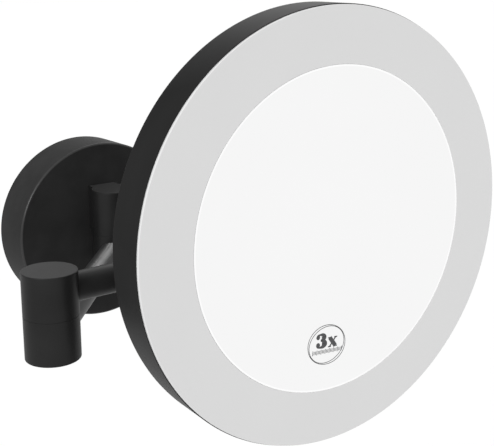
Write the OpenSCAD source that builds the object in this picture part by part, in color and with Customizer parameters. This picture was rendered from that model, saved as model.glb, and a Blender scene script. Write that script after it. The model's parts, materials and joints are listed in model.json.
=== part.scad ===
// Wall-mounted lit shaving mirror on a two-part folding arm.
// Millimetres, +Z up. The wall is the plane y = 0 and the room lies on its -Y side.
// The origin is the middle of the mounting plate's back face.

/* [Wall plate] */
// Diameter of the round cover on the wall
plate_d = 99; // [90:1:130]
// How far the cover stands off the wall
plate_depth = 26.5; // [22:0.5:40]
// Wall thickness of the cover's side
cover_wall = 2.2; // [1.5:0.1:3.5]
// Thickness of the cover's face
cover_face = 2.6; // [1.5:0.1:4]
// Radius of the cover's front edge
cover_round = 1.4; // [0.4:0.1:3]
// Thickness of the steel mounting plate
bracket_t = 2.5; // [1.5:0.1:4]
// Height of the mounting plate's turned-up rim
bracket_rim_h = 9; // [6:0.5:14]
// Distance of the wall-screw holes from the mounting plate's rim
hole_inset = 7; // [6:0.5:10]
// Diameter of a wall-screw hole
wall_hole_d = 5.2; // [4:0.1:6.5]
// Diameter of the cable hole
cable_hole_d = 14; // [10:0.5:18]

/* [Hinges] */
// Diameter of a hinge barrel
hinge_d = 24; // [22:0.5:30]
// Height of one half of a hinge barrel
half_h = 19.5; // [18:0.5:28]
// Height of the wall hinge's upper half, which stands taller than the others
wall_half_h = 24.3; // [20:0.1:30]
// Height of the wall and elbow seams above the plate's middle
hinge_lift = 2.1; // [0:0.1:6]
// Gap between the cover's face and the wall hinge barrel
plate_gap = 1; // [0.6:0.1:6]
// Width of the neck that carries the wall hinge
neck_w = 16; // [9:0.5:18]
// Visible seam between two halves
seam = 0.6; // [0.6:0.1:1.2]
// Diameter of the hollow hinge pins
pin_d = 10; // [9:0.2:11]
// Bore of the hollow hinge pins
pin_bore = 5.2; // [4.4:0.1:6]
// Wall of the flanged bushes
bush_wall = 1.9; // [1.2:0.1:2.4]
// Thickness of a bush flange
bush_flange_t = 0.9; // [0.9:0.1:2]
// Depth of the nut pocket under each hinge
pocket_h = 6; // [5.6:0.1:8]
// Thickness of the plug that closes a nut pocket
plug_t = 1.6; // [1.2:0.1:1.8]
// Thickness of a hinge nut
nut_t = 2.4; // [2:0.1:2.8]
// Edge chamfer of the barrels
barrel_chamfer = 0.5; // [0.2:0.1:1.5]

/* [Arms] */
// Diameter of both arm tubes
arm_d = 13; // [11:0.5:15]
// Wall of both arm tubes
arm_wall = 1.5; // [1:0.1:2.5]
// Length of the inner arm from axis to axis
inner_arm_len = 130; // [100:1:200]
// Angle of the inner arm from straight out
inner_arm_turn = 41.7; // [0:0.1:85]
// Length of the outer arm from axis to axis
outer_arm_len = 117.5; // [115:0.5:200]
// Angle of the outer arm from the wall's line
outer_arm_turn = 0.7; // [-20:0.1:5]
// Diameter of the two-core lead inside the arms
lead_d = 2.5; // [2:0.1:2.8]

/* [Tilt joint] */
// Distance from the swivel axis to the back of the head
head_reach = 33; // [32:0.5:50]
// Distance from the back of the head to the tilt axis
tilt_reach = 13.5; // [12:0.5:15]
// How far the tilt axis sits below the middle of its barrel half
tilt_drop = 1.35; // [0:0.05:2]
// Width of the tongue on the swivel
tongue_w = 10; // [8:0.5:11]
// Outer radius of the tongue and the ears
ear_r = 7; // [6.2:0.1:7.4]
// Thickness of one ear
ear_t = 5; // [4.4:0.1:5.5]
// Diameter of the tilt pin
tilt_pin_d = 7; // [6.4:0.1:7.6]
// Bore of the tilt pin
tilt_pin_bore = 3.8; // [3.4:0.1:4.2]
// Diameter of the tilt bracket's base
bracket_base_d = 48; // [44:1:60]
// Thickness of the tilt bracket's base
bracket_base_t = 3; // [2:0.5:4]

/* [Head] */
// Diameter of the head
head_d = 200; // [190:1:260]
// Depth of the head from front to back
head_depth = 21.5; // [21.5:0.5:30]
// Turn of the head about the swivel axis
head_turn = -3.3; // [-5:0.1:20]
// Width of the light ring round the mirror
ring_w = 25.1; // [20:0.1:34]
// Thickness of the mirror glass
mirror_t = 3; // [2:0.5:4]
// Radius of the mirror's hollow face
mirror_curve = 700; // [600:10:1200]
// Wall of the rear casing
casing_wall = 2.4; // [1.6:0.1:3.5]
// Radius of the casing's back edge
casing_round = 2; // [0.8:0.1:5]
// Thickness of the front ring
front_t = 2; // [1.5:0.1:3]
// Gap between the mirror and the front ring
mirror_gap = 0.5; // [0.3:0.1:1.5]
// Number of light diodes
led_count = 48; // [24:4:72]
// Width of the oval mark low on the mirror
mark_w = 22; // [14:0.5:26]
// Height of the oval mark
mark_h = 18.6; // [12:0.2:22]
// Distance of the mark's middle from the mirror's edge
mark_in = 22; // [14:0.1:40]
// Turn of the mirror disc, with its mark, about its own axis
mark_turn = 5.8; // [-10:0.1:10]

/* [Hidden] */
$fn = 120;
cut = 1;                 // how far a cutting solid runs past the face it cuts
seat = 0.05;             // clearance of a piece seated in its own body
run_c = 0.06;            // radial clearance of a pin turning in its bush
move_c = 0.3;            // clearance between faces of two moving bodies
lead_c = 0.95;           // clearance round the lead in a wide channel
lead_c_ear = 0.35;       // clearance round the lead in the tilt ear
lead_gap = 0.25;         // half the gap between two lead ends on a hinge axis

plate_r = plate_d / 2;
hinge_r = hinge_d / 2;
pin_r = pin_d / 2;
arm_r = arm_d / 2;
head_r = head_d / 2;
mirror_r = head_r - ring_w - mirror_gap;
lead_r = lead_d / 2;
lead_hole_r = lead_r + lead_c;

// hinge axes in plan
wall_axis = [0, -(plate_depth + plate_gap + hinge_r)];
elbow_axis = wall_axis + inner_arm_len * [-sin(inner_arm_turn), -cos(inner_arm_turn)];
head_axis = elbow_axis + outer_arm_len * [cos(outer_arm_turn), sin(outer_arm_turn)];
low_seam = hinge_lift;                   // wall and elbow hinges
high_seam = hinge_lift + half_h;         // head hinge
mid_h = half_h / 2;                      // an arm's level from the seam
tilt_z = high_seam + mid_h - tilt_drop;

// hinge internals, measured from the seam
bush_r = pin_r + run_c + bush_wall;
flange_r = hinge_r - 2.5;
flange_top = seam / 2 - move_c;
flange_bot = flange_top - bush_flange_t;
pocket_top = -half_h + pocket_h;
pocket_r = hinge_r - 3.8;
washer_t = 0.7;
washer_top = pocket_top - move_c;
nut_top = washer_top - washer_t - move_c;
nut_bot = nut_top - nut_t;
nut_r = pocket_r - 1.2;
pin_top = half_h - 4.7;
pin_lid = 0.8;
socket_in = pocket_r + 0.6;
web_y = 2.2;                             // the pin's web starts this far behind its axis
slot_w = 1.2;                            // coin slot of a plug
slot_len = 8;
slot_deep = 0.7;

// the pins' wide windows face the middle of the arm's travel
wall_window = 180;
elbow_window = 105;
head_window = 254;

// cover and mounting plate
cover_lift = 0.3;                        // the cover's rim stops short of the wall
cover_c = 0.3;                           // clearance between the cover and what it goes round
bracket_r = plate_r - cover_wall - cover_c;
rim_t = 2;
grub_d = 3;
grub_at = 6;
grub_angles = [240, 300];
grub_len = rim_t + cover_wall + 0.7;
grub_hex_r = 0.8;
grub_hex_deep = 1.2;
room_r = bracket_r - rim_t;              // free radius inside the rim
hole_angles = [90, 210, 330];
neck_foot_r = 19;
neck_foot_t = 3;
foot_screw_r = 15;
foot_screw_d = 4;
foot_head_r = 3.4;
foot_screw_x = neck_w / 2 + cover_c + foot_head_r;
foot_screw_y = sqrt(foot_screw_r * foot_screw_r - foot_screw_x * foot_screw_x);
bolt_head_t = 2;
tap_floor = 1;                           // plate left behind a blind screw hole
lead_down_in = 11.5;                     // from the bracket to the lead that comes down
lead_down_y = -(bracket_t + lead_down_in);
driver = [48, 16, 18];
driver_top = driver.z - sqrt(pow(room_r - 1, 2) - pow(driver.x / 2, 2));
driver_mid = driver_top - driver.z / 2;
driver_off = 3;                          // stand-off of the driver from the plate
driver_lug = 5;
driver_lug_t = 2;
driver_lug_h = 8;
driver_boss_r = 2.2;
driver_screw_r = 1.25;
driver_screw_head_t = 1.5;
driver_screw_x = driver.x / 2 + driver_lug / 2;
terminal = [10, 12, 18];
terminal_in = 12;                        // from the rim to the terminal block
terminal_at = [room_r - terminal_in, 6];
terminal_pitch = 5;
terminal_hole_r = 1.6;
terminal_hole_deep = 5;
cable_in = 15;                           // from the rim to the cable entry
cable_at = [cable_in - room_r, 0];

// head, heights measured from its back plane to its front
wall_r_in = head_r - casing_wall;
ring_in = head_r - ring_w;
ring_step = 1.5;
front_seat = head_depth - front_t;
tray_in = ring_in + 1.6;
tray_out = wall_r_in - 0.4;
tray_t = 1;
tray_top = front_seat - ring_step - 0.1;
board_t = 1.6;
board_in = tray_in + tray_t + 0.5;
board_out = tray_out - tray_t - 0.5;
led_size = [3.5, 2.8, 0.8];
led_r = (board_in + board_out) / 2;
hub_r = 34;
hub_t = 2;
bracket_screw_r = 18;
bracket_screw_d = 4;
bracket_head_r = 3.6;
casing_screw_edge = 22;                  // from the mirror's edge to a casing screw
casing_screw_r = mirror_r - casing_screw_edge;
casing_screw_d = 3;
casing_screw_in = 5;                     // how far a casing screw goes into its post
casing_head_t = 1.6;
post_r = 4;
sag = mirror_curve - sqrt(mirror_curve * mirror_curve - mirror_r * mirror_r);
back_curve = mirror_curve + mirror_t;
function bowl(r, curve) = head_depth - sag + mirror_curve - sqrt(curve * curve - r * r);
glass_mid_back = bowl(0, back_curve);
dish_t = 2;
pad_t = 2;
dish_wall = 2.6;
dish_top = glass_mid_back - seat - pad_t;
dish_rim_top = bowl(mirror_r - dish_wall, back_curve) - seat;
pad_r = 24;
lead_level = casing_wall + tray_t + board_t + 0.25 + lead_r;
mark_drop = mirror_r - mark_in;
mark_t = 0.15;
mark_c = 0.1;                            // the flat mark bridges the hollow of the mirror
tilt_head_t = 2.4;
tilt_head_w = 2;
tilt_washer_w = 2.4;
tilt_washer_t = 0.6;
tilt_nut_t = 2.6;
tilt_window = 4;

module on_wall() rotate([90, 0, 0]) children();
module at_wall() translate([wall_axis.x, wall_axis.y, low_seam]) children();
module at_elbow() translate([elbow_axis.x, elbow_axis.y, low_seam]) children();
module at_head() translate([head_axis.x, head_axis.y, high_seam]) children();
module in_swivel() translate([head_axis.x, head_axis.y, tilt_z]) rotate([0, 0, head_turn]) children();
module in_tilt() in_swivel() translate([0, tilt_reach - head_reach, 0]) children();
module in_head() in_swivel() translate([0, -head_reach, 0]) rotate([90, 0, 0]) children();
inner_dir = 270 - inner_arm_turn;        // wall hinge to elbow
inner_back = inner_dir - 180;            // elbow to wall hinge
outer_back = outer_arm_turn + 180;       // head hinge to elbow

module ring(r_out, r_in, h) difference() {
    cylinder(r = r_out, h = h);
    translate([0, 0, -cut]) cylinder(r = r_in, h = h + 2 * cut);
}
module across(r, x0, x1) translate([x0, 0, 0]) rotate([0, 90, 0]) cylinder(r = r, h = x1 - x0);
module round_places(count, r, first = 0)
    for (i = [0 : count - 1]) rotate([0, 0, first + i * 360 / count]) translate([r, 0, 0]) children();

// ---- hinge pieces: z = 0 at the seam, the arm leaves along +X ----
module barrel(z0, z1, lower_edge, upper_edge) {
    a = lower_edge ? barrel_chamfer : 0;
    b = upper_edge ? barrel_chamfer : 0;
    rotate_extrude() polygon(concat(
        [[0, z0]],
        a > 0 ? [[hinge_r - a, z0], [hinge_r, z0 + a]] : [[hinge_r, z0]],
        b > 0 ? [[hinge_r, z1 - b], [hinge_r - b, z1]] : [[hinge_r, z1]],
        [[0, z1]]));
}
module lower_half() difference() {
    barrel(-half_h, -seam / 2, true, false);
    translate([0, 0, -half_h - cut]) cylinder(r = bush_r + seat, h = half_h + 2 * cut);
    translate([0, 0, -half_h - cut]) cylinder(r = pocket_r, h = pocket_h + cut);
    translate([0, 0, flange_bot]) cylinder(r = flange_r + seat, h = bush_flange_t + cut);
    translate([0, 0, -mid_h]) across(arm_r + seat, socket_in, hinge_r + cut);
    translate([0, 0, -mid_h]) across(lead_hole_r, 0, hinge_r);
}
module upper_half() difference() {
    barrel(seam / 2, half_h, false, true);
    cylinder(r = pin_r + seat, h = pin_top + seat);
    translate([0, 0, mid_h]) across(arm_r + seat, socket_in, hinge_r + cut);
    translate([0, 0, mid_h]) across(lead_hole_r, 0, hinge_r + cut);
}
module hinge_pin(level, web_turn) difference() {
    translate([0, 0, nut_bot]) cylinder(r = pin_r, h = pin_top - nut_bot);
    translate([0, 0, nut_bot - cut]) cylinder(d = pin_bore, h = pin_top - nut_bot - pin_lid + cut);
    translate([0, 0, level]) across(lead_hole_r, 0, pin_r + cut);
    translate([0, 0, -mid_h - lead_hole_r]) rotate([0, 0, web_turn])
        translate([-web_y, -pin_r - cut, 0]) cube([pin_r + web_y + cut, pin_d + 2 * cut, 2 * lead_hole_r]);
}
module hinge_bush() difference() {
    union() {
        translate([0, 0, pocket_top]) cylinder(r = bush_r, h = flange_bot - pocket_top);
        translate([0, 0, flange_bot]) cylinder(r = flange_r, h = bush_flange_t);
    }
    translate([0, 0, pocket_top - cut]) cylinder(r = pin_r + run_c, h = half_h);
    translate([0, 0, -mid_h]) across(lead_hole_r, 0, hinge_r);
}
module hinge_washer() translate([0, 0, washer_top - washer_t]) ring(nut_r, pin_r + 0.3, washer_t);
module hinge_nut() difference() {
    translate([0, 0, nut_bot]) cylinder(r = nut_r, h = nut_t, $fn = 6);
    translate([0, 0, nut_bot - cut]) cylinder(r = pin_r + seat, h = nut_t + 2 * cut);
}
module hinge_plug() difference() {
    translate([0, 0, -half_h]) cylinder(r = pocket_r - seat, h = plug_t);
    translate([-slot_len / 2, -slot_w / 2, -half_h - cut]) cube([slot_len, slot_w, slot_deep + cut]);
}
module arm_tube(len) difference() {
    across(arm_r, socket_in, len - socket_in);
    across(arm_r - arm_wall, socket_in - cut, len - socket_in + cut);
}
// a lead that runs along +X and turns up (or down) the axes at its two ends
module arm_lead(len, from_z, to_z) {
    across(lead_r, 0, len);
    sphere(r = lead_r);
    translate([0, 0, min(0, from_z)]) cylinder(r = lead_r, h = abs(from_z));
    translate([len, 0, 0]) sphere(r = lead_r);
    translate([len, 0, min(0, to_z)]) cylinder(r = lead_r, h = abs(to_z));
}

// ---- wall plate ----
module at_driver_screws() for (x = [-1, 1]) translate([x * driver_screw_x, driver_mid, 0]) children();
module at_foot_screws() translate([0, low_seam + mid_h, 0])
    for (x = [-1, 1], y = [-1, 1]) translate([x * foot_screw_x, y * foot_screw_y, 0]) children();
module at_grub(r) for (a = grub_angles) rotate([0, 0, a]) translate([r, 0, grub_at])
    rotate([0, 90, 0]) children();
module mounting_plate() color("silver") on_wall() difference() {
    union() {
        cylinder(r = bracket_r, h = bracket_t);
        ring(bracket_r, room_r, bracket_rim_h);
        at_driver_screws() cylinder(r = driver_boss_r, h = bracket_t + driver_off);
    }
    for (a = hole_angles) rotate([0, 0, a]) translate([room_r - hole_inset, 0, -cut])
        cylinder(d = wall_hole_d, h = bracket_t + 2 * cut);
    translate([cable_at.x, cable_at.y, -cut]) cylinder(d = cable_hole_d, h = bracket_t + 2 * cut);
    at_grub(room_r - cut) cylinder(d = grub_d + 2 * seat, h = rim_t + 2 * cut);
    at_foot_screws() translate([0, 0, tap_floor]) cylinder(d = foot_screw_d + 2 * seat, h = bracket_t);
    at_driver_screws() translate([0, 0, tap_floor])
        cylinder(r = driver_screw_r + seat, h = bracket_t + driver_off);
}
module wall_cover() color("dimgray") on_wall() difference() {
    rotate_extrude() polygon(concat(
        [[0, cover_lift], [plate_r, cover_lift]],
        [for (a = [0 : 15 : 90]) [plate_r - cover_round + cover_round * cos(a),
            plate_depth - cover_round + cover_round * sin(a)]],
        [[0, plate_depth]]));
    translate([0, 0, cover_lift - cut])
        cylinder(r = plate_r - cover_wall, h = plate_depth - cover_face - cover_lift + cut);
    translate([-neck_w / 2 - cover_c, low_seam + seam / 2 - cover_c, 0])
        cube([neck_w + 2 * cover_c, wall_half_h - seam / 2 + 2 * cover_c, plate_depth + cut]);
    at_grub(plate_r - cover_wall - cut) cylinder(d = grub_d + 2 * seat, h = cover_wall + 2 * cut);
}
module cover_screws() color("black") on_wall() at_grub(room_r - 0.8) difference() {
    cylinder(d = grub_d, h = grub_len);
    translate([0, 0, grub_len - grub_hex_deep]) cylinder(r = grub_hex_r, h = grub_hex_deep + cut, $fn = 6);
}
module hinge_block() color("dimgray") difference() {
    union() {
        at_wall() barrel(seam / 2, wall_half_h, false, true);
        translate([-neck_w / 2, wall_axis.y, low_seam + seam / 2])
            cube([neck_w, -wall_axis.y - bracket_t, wall_half_h - seam / 2]);
        translate([0, -bracket_t, low_seam + mid_h]) rotate([90, 0, 0])
            cylinder(r = neck_foot_r, h = neck_foot_t);
    }
    at_wall() cylinder(r = pin_r + seat, h = pin_top + seat);
    translate([0, lead_down_y + lead_hole_r, low_seam + mid_h]) rotate([90, 0, 0])
        cylinder(r = lead_hole_r, h = lead_down_y + lead_hole_r - wall_axis.y);
    translate([0, lead_down_y, low_seam - cut]) cylinder(r = lead_hole_r, h = mid_h + cut);
    on_wall() at_foot_screws() translate([0, 0, bracket_t - cut])
        cylinder(d = foot_screw_d + 2 * seat, h = neck_foot_t + 2 * cut);
}
module hinge_block_screws() color("silver") on_wall() at_foot_screws() {
    translate([0, 0, tap_floor + seat])
        cylinder(d = foot_screw_d, h = bracket_t + neck_foot_t - tap_floor - seat);
    translate([0, 0, bracket_t + neck_foot_t]) cylinder(r = foot_head_r, h = bolt_head_t);
}
module led_driver() color("white") on_wall() difference() {
    union() {
        translate([-driver.x / 2, driver_top - driver.z, bracket_t + driver_off])
            cube([driver.x, driver.z, driver.y]);
        translate([-driver.x / 2 - driver_lug, driver_mid - driver_lug_h / 2, bracket_t + driver_off])
            cube([driver.x + 2 * driver_lug, driver_lug_h, driver_lug_t]);
    }
    at_driver_screws() translate([0, 0, bracket_t + driver_off - cut])
        cylinder(r = driver_screw_r + seat, h = driver_lug_t + 2 * cut);
}
module driver_screws() color("silver") on_wall() at_driver_screws() {
    translate([0, 0, tap_floor + seat])
        cylinder(r = driver_screw_r, h = bracket_t + driver_off + driver_lug_t - tap_floor - seat);
    translate([0, 0, bracket_t + driver_off + driver_lug_t])
        cylinder(r = driver_boss_r, h = driver_screw_head_t);
}
module terminal_block() color("ivory")
    on_wall() translate([terminal_at.x, terminal_at.y, bracket_t]) difference() {
        translate([-terminal.x / 2, -terminal.z / 2, 0]) cube([terminal.x, terminal.z, terminal.y]);
        for (z = [-1, 0, 1]) translate([0, z * terminal_pitch, terminal.y - terminal_hole_deep])
            cylinder(r = terminal_hole_r, h = terminal_hole_deep + cut);
    }
module wall_lead() color("black") {
    translate([0, lead_down_y, driver_top]) cylinder(r = lead_r, h = low_seam + mid_h - driver_top);
    translate([0, lead_down_y, low_seam + mid_h]) sphere(r = lead_r);
    translate([0, lead_down_y, low_seam + mid_h]) rotate([90, 0, 0])
        cylinder(r = lead_r, h = lead_down_y - wall_axis.y);
    at_wall() translate([0, 0, mid_h]) sphere(r = lead_r);
    at_wall() translate([0, 0, lead_gap]) cylinder(r = lead_r, h = mid_h - lead_gap);
}
module wall_hinge_pin() color("silver") at_wall() rotate([0, 0, 90]) hinge_pin(mid_h, wall_window);
module wall_hinge_washer() color("gray") at_wall() hinge_washer();
module wall_hinge_nut() color("silver") at_wall() hinge_nut();

// ---- inner arm ----
module inner_arm_wall_knuckle() color("dimgray") at_wall() rotate([0, 0, inner_dir]) lower_half();
module inner_arm_tube() color("gray") at_wall() translate([0, 0, -mid_h]) rotate([0, 0, inner_dir])
    arm_tube(inner_arm_len);
module inner_arm_elbow_knuckle() color("dimgray") at_elbow() rotate([0, 0, inner_back]) lower_half();
module wall_hinge_bush() color("ivory") at_wall() rotate([0, 0, inner_dir]) hinge_bush();
module elbow_hinge_bush() color("ivory") at_elbow() rotate([0, 0, inner_back]) hinge_bush();
module wall_hinge_plug() color("black") at_wall() hinge_plug();
module elbow_hinge_plug() color("black") at_elbow() hinge_plug();
module inner_arm_lead() color("black") at_wall() translate([0, 0, -mid_h]) rotate([0, 0, inner_dir])
    arm_lead(inner_arm_len, mid_h - lead_gap, mid_h - lead_gap);

// ---- outer arm ----
module outer_arm_elbow_knuckle() color("dimgray")
    at_elbow() rotate([0, 0, outer_arm_turn]) upper_half();
module outer_arm_tube() color("gray") at_elbow() translate([0, 0, mid_h]) rotate([0, 0, outer_arm_turn])
    arm_tube(outer_arm_len);
module outer_arm_head_knuckle() color("dimgray") at_head() rotate([0, 0, outer_back]) lower_half();
module elbow_hinge_pin() color("silver")
    at_elbow() rotate([0, 0, outer_arm_turn]) hinge_pin(mid_h, elbow_window);
module elbow_hinge_washer() color("gray") at_elbow() hinge_washer();
module elbow_hinge_nut() color("silver") at_elbow() hinge_nut();
module head_hinge_bush() color("ivory") at_head() rotate([0, 0, outer_back]) hinge_bush();
module head_hinge_plug() color("black") at_head() hinge_plug();
module outer_arm_lead() color("black") at_elbow() translate([0, 0, mid_h]) rotate([0, 0, outer_arm_turn])
    arm_lead(outer_arm_len, lead_gap - mid_h, mid_h - lead_gap);

// ---- swivel ----
module swivel_block() color("dimgray") difference() {
    union() {
        at_head() barrel(seam / 2, half_h, false, true);
        in_swivel() translate([-tongue_w / 2, tilt_reach - head_reach, -ear_r])
            cube([tongue_w, head_reach - tilt_reach, 2 * ear_r]);
        in_tilt() across(ear_r, -tongue_w / 2, tongue_w / 2);
    }
    at_head() cylinder(r = pin_r + seat, h = pin_top + seat);
    in_tilt() across(tilt_pin_d / 2 + seat, -tongue_w / 2 - cut, tongue_w / 2 + cut);
    in_swivel() rotate([90, 0, 0]) cylinder(r = lead_r + 2 * lead_gap, h = head_reach - tilt_reach);
}
module head_hinge_pin() color("silver") at_head() rotate([0, 0, head_turn - 90])
    hinge_pin(tilt_z - high_seam, head_window);
module head_hinge_washer() color("gray") at_head() hinge_washer();
module head_hinge_nut() color("silver") at_head() hinge_nut();
module swivel_lead() color("black") {
    at_head() translate([0, 0, lead_gap]) cylinder(r = lead_r, h = tilt_z - high_seam - lead_gap);
    in_swivel() sphere(r = lead_r);
    in_swivel() rotate([90, 0, 0])
        cylinder(r = lead_r, h = head_reach - tilt_reach - lead_r - 2 * lead_gap);
}

// ---- head ----
ear_x0 = tongue_w / 2 + move_c;
ear_x1 = ear_x0 + ear_t;
lead_x = (ear_x0 + ear_x1) / 2;
module tilt_bracket() color("dimgray") difference() {
    union() {
        in_head() translate([0, 0, -bracket_base_t]) cylinder(d = bracket_base_d, h = bracket_base_t);
        for (s = [-1, 1]) in_tilt() translate([s < 0 ? -ear_x1 : ear_x0, 0, 0]) {
            across(ear_r, 0, ear_t);
            translate([0, -tilt_reach + bracket_base_t / 2, -ear_r])
                cube([ear_t, tilt_reach - bracket_base_t / 2, 2 * ear_r]);
        }
    }
    in_tilt() across(tilt_pin_d / 2 + seat, -ear_x1 - cut, ear_x1 + cut);
    in_tilt() translate([lead_x, 0, 0]) rotate([90, 0, 0])
        cylinder(r = lead_r + lead_c_ear, h = tilt_reach + cut);
    in_head() round_places(4, bracket_screw_r, 45) translate([0, 0, -bracket_base_t - cut])
        cylinder(d = bracket_screw_d + 2 * seat, h = bracket_base_t + 2 * cut);
}
module tilt_pin() color("silver") in_tilt() difference() {
    union() {
        across(tilt_pin_d / 2, -ear_x1, ear_x1 + tilt_washer_t + tilt_nut_t);
        across(tilt_pin_d / 2 + tilt_head_w, -ear_x1 - tilt_head_t, -ear_x1);
    }
    across(tilt_pin_bore / 2, -ear_x1, ear_x1 + tilt_washer_t + tilt_nut_t + cut);
    translate([-tilt_window / 2, 0, -tilt_pin_d / 2 - cut])
        cube([tilt_window, tilt_pin_d, tilt_pin_d + 2 * cut]);
    translate([lead_x, 0, 0]) rotate([90, 0, 0]) cylinder(r = lead_r + lead_c_ear, h = tilt_pin_d);
}
module tilt_washer() color("gray") in_tilt() translate([ear_x1, 0, 0]) rotate([0, 90, 0])
    ring(tilt_pin_d / 2 + tilt_washer_w, tilt_pin_d / 2 + seat, tilt_washer_t);
module tilt_nut() color("silver") in_tilt() translate([ear_x1 + tilt_washer_t, 0, 0]) rotate([0, 90, 0])
    difference() {
        cylinder(r = tilt_pin_d / 2 + tilt_washer_w, h = tilt_nut_t, $fn = 6);
        translate([0, 0, -cut]) cylinder(r = tilt_pin_d / 2 + seat, h = tilt_nut_t + 2 * cut);
    }
module bracket_screws() color("silver") in_head() round_places(4, bracket_screw_r, 45) {
    translate([0, 0, -bracket_base_t])
        cylinder(d = bracket_screw_d, h = bracket_base_t + casing_wall + hub_t);
    translate([0, 0, -bracket_base_t - bolt_head_t]) cylinder(r = bracket_head_r, h = bolt_head_t);
}
module hub_plate() color("silver") in_head() difference() {
    translate([0, 0, casing_wall]) cylinder(r = hub_r, h = hub_t);
    round_places(4, bracket_screw_r, 45)
        cylinder(d = bracket_screw_d + 2 * seat, h = casing_wall + hub_t + cut);
    translate([lead_x, 0, 0]) cylinder(r = lead_r + lead_c, h = casing_wall + hub_t + cut);
}
module rear_casing() color("dimgray") in_head() difference() {
    rotate_extrude() polygon(concat(
        [[0, 0]],
        [for (a = [-90 : 15 : 0]) [head_r - casing_round + casing_round * cos(a),
            casing_round + casing_round * sin(a)]],
        [[head_r, front_seat], [0, front_seat]]));
    translate([0, 0, casing_wall]) cylinder(r = wall_r_in, h = head_depth);
    round_places(4, bracket_screw_r, 45) translate([0, 0, -cut])
        cylinder(d = bracket_screw_d + 2 * seat, h = casing_wall + 2 * cut);
    round_places(4, casing_screw_r) translate([0, 0, -cut])
        cylinder(d = casing_screw_d + 2 * seat, h = casing_wall + 2 * cut);
    translate([lead_x, 0, -cut]) cylinder(r = lead_r + lead_c, h = casing_wall + 2 * cut);
}
module casing_screws() color("black") in_head() round_places(4, casing_screw_r) {
    translate([0, 0, -casing_head_t]) cylinder(r = casing_screw_d, h = casing_head_t);
    cylinder(d = casing_screw_d, h = casing_wall + casing_screw_in);
}
module light_tray() color("white") in_head() difference() {
    translate([0, 0, casing_wall]) union() {
        ring(tray_out, tray_in, tray_t);
        ring(tray_in + tray_t, tray_in, tray_top - casing_wall);
        ring(tray_out, tray_out - tray_t, tray_top - casing_wall);
    }
    translate([lead_x, cut - board_in / 2, lead_level]) rotate([90, 0, 0])
        cylinder(r = lead_r + lead_c_ear, h = board_in / 2 + tray_t);
}
module led_board() color("green") in_head() translate([0, 0, casing_wall + tray_t])
    ring(board_out, board_in, board_t);
module led_lamps() color("yellow") in_head() round_places(led_count, led_r, 360 / led_count / 2)
    translate([-led_size.x / 2, -led_size.y / 2, casing_wall + tray_t + board_t]) cube(led_size);
module front_ring() color("gainsboro") in_head() {
    translate([0, 0, front_seat]) ring(head_r, ring_in, front_t);
    translate([0, 0, front_seat - ring_step]) ring(wall_r_in - 0.2, ring_in, ring_step);
}
module mirror_tray() color("gray") in_head() difference() {
    union() {
        translate([0, 0, dish_top - dish_t]) cylinder(r = mirror_r, h = dish_t);
        translate([0, 0, dish_top - dish_t])
            ring(mirror_r, mirror_r - dish_wall, dish_rim_top - dish_top + dish_t);
        round_places(4, casing_screw_r) translate([0, 0, casing_wall])
            cylinder(r = post_r, h = dish_top - dish_t / 2 - casing_wall);
    }
    round_places(4, casing_screw_r) translate([0, 0, casing_wall - cut])
        cylinder(d = casing_screw_d + 2 * seat, h = casing_screw_in + 2 * seat + cut);
}
module mirror_pad() color("black") in_head() translate([0, 0, dish_top]) cylinder(r = pad_r, h = pad_t);
module mirror_glass() color("lightblue") in_head() rotate_extrude() polygon(concat(
    [for (i = [0 : 16]) let (r = mirror_r * i / 16) [r, bowl(r, back_curve)]],
    [for (i = [16 : -1 : 0]) let (r = mirror_r * i / 16) [r, bowl(r, mirror_curve)]]));
module magnification_mark() color("black") in_head() rotate([0, 0, -mark_turn])
    translate([0, -mark_drop, bowl(mark_drop, mirror_curve)])
    rotate([-asin(mark_drop / mirror_curve), 0, 0]) translate([0, 0, mark_c])
    linear_extrude(mark_t) polygon([for (a = [0 : 6 : 354]) [mark_w / 2 * cos(a), mark_h / 2 * sin(a)]]);
module head_lead() color("black") {
    in_tilt() across(lead_r, 0, lead_x);
    in_tilt() translate([lead_x, 0, 0]) sphere(r = lead_r);
    in_tilt() translate([lead_x, 0, 0]) rotate([90, 0, 0])
        cylinder(r = lead_r, h = tilt_reach + lead_level);
    in_head() translate([lead_x, 0, lead_level]) sphere(r = lead_r);
    in_head() translate([lead_x, 0, lead_level]) rotate([90, 0, 0])
        cylinder(r = lead_r, h = board_in + lead_r);
}

mounting_plate();
wall_cover();
cover_screws();
hinge_block();
hinge_block_screws();
led_driver();
driver_screws();
terminal_block();
wall_lead();
wall_hinge_pin();
wall_hinge_washer();
wall_hinge_nut();
inner_arm_wall_knuckle();
inner_arm_tube();
inner_arm_elbow_knuckle();
wall_hinge_bush();
elbow_hinge_bush();
wall_hinge_plug();
elbow_hinge_plug();
inner_arm_lead();
outer_arm_elbow_knuckle();
outer_arm_tube();
outer_arm_head_knuckle();
elbow_hinge_pin();
elbow_hinge_washer();
elbow_hinge_nut();
head_hinge_bush();
head_hinge_plug();
outer_arm_lead();
swivel_block();
head_hinge_pin();
head_hinge_washer();
head_hinge_nut();
swivel_lead();
tilt_bracket();
tilt_pin();
tilt_washer();
tilt_nut();
bracket_screws();
hub_plate();
rear_casing();
casing_screws();
light_tray();
led_board();
led_lamps();
front_ring();
mirror_tray();
mirror_pad();
mirror_glass();
magnification_mark();
head_lead();
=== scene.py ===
"""A wall-mounted lit shaving mirror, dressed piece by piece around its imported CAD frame."""

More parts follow.
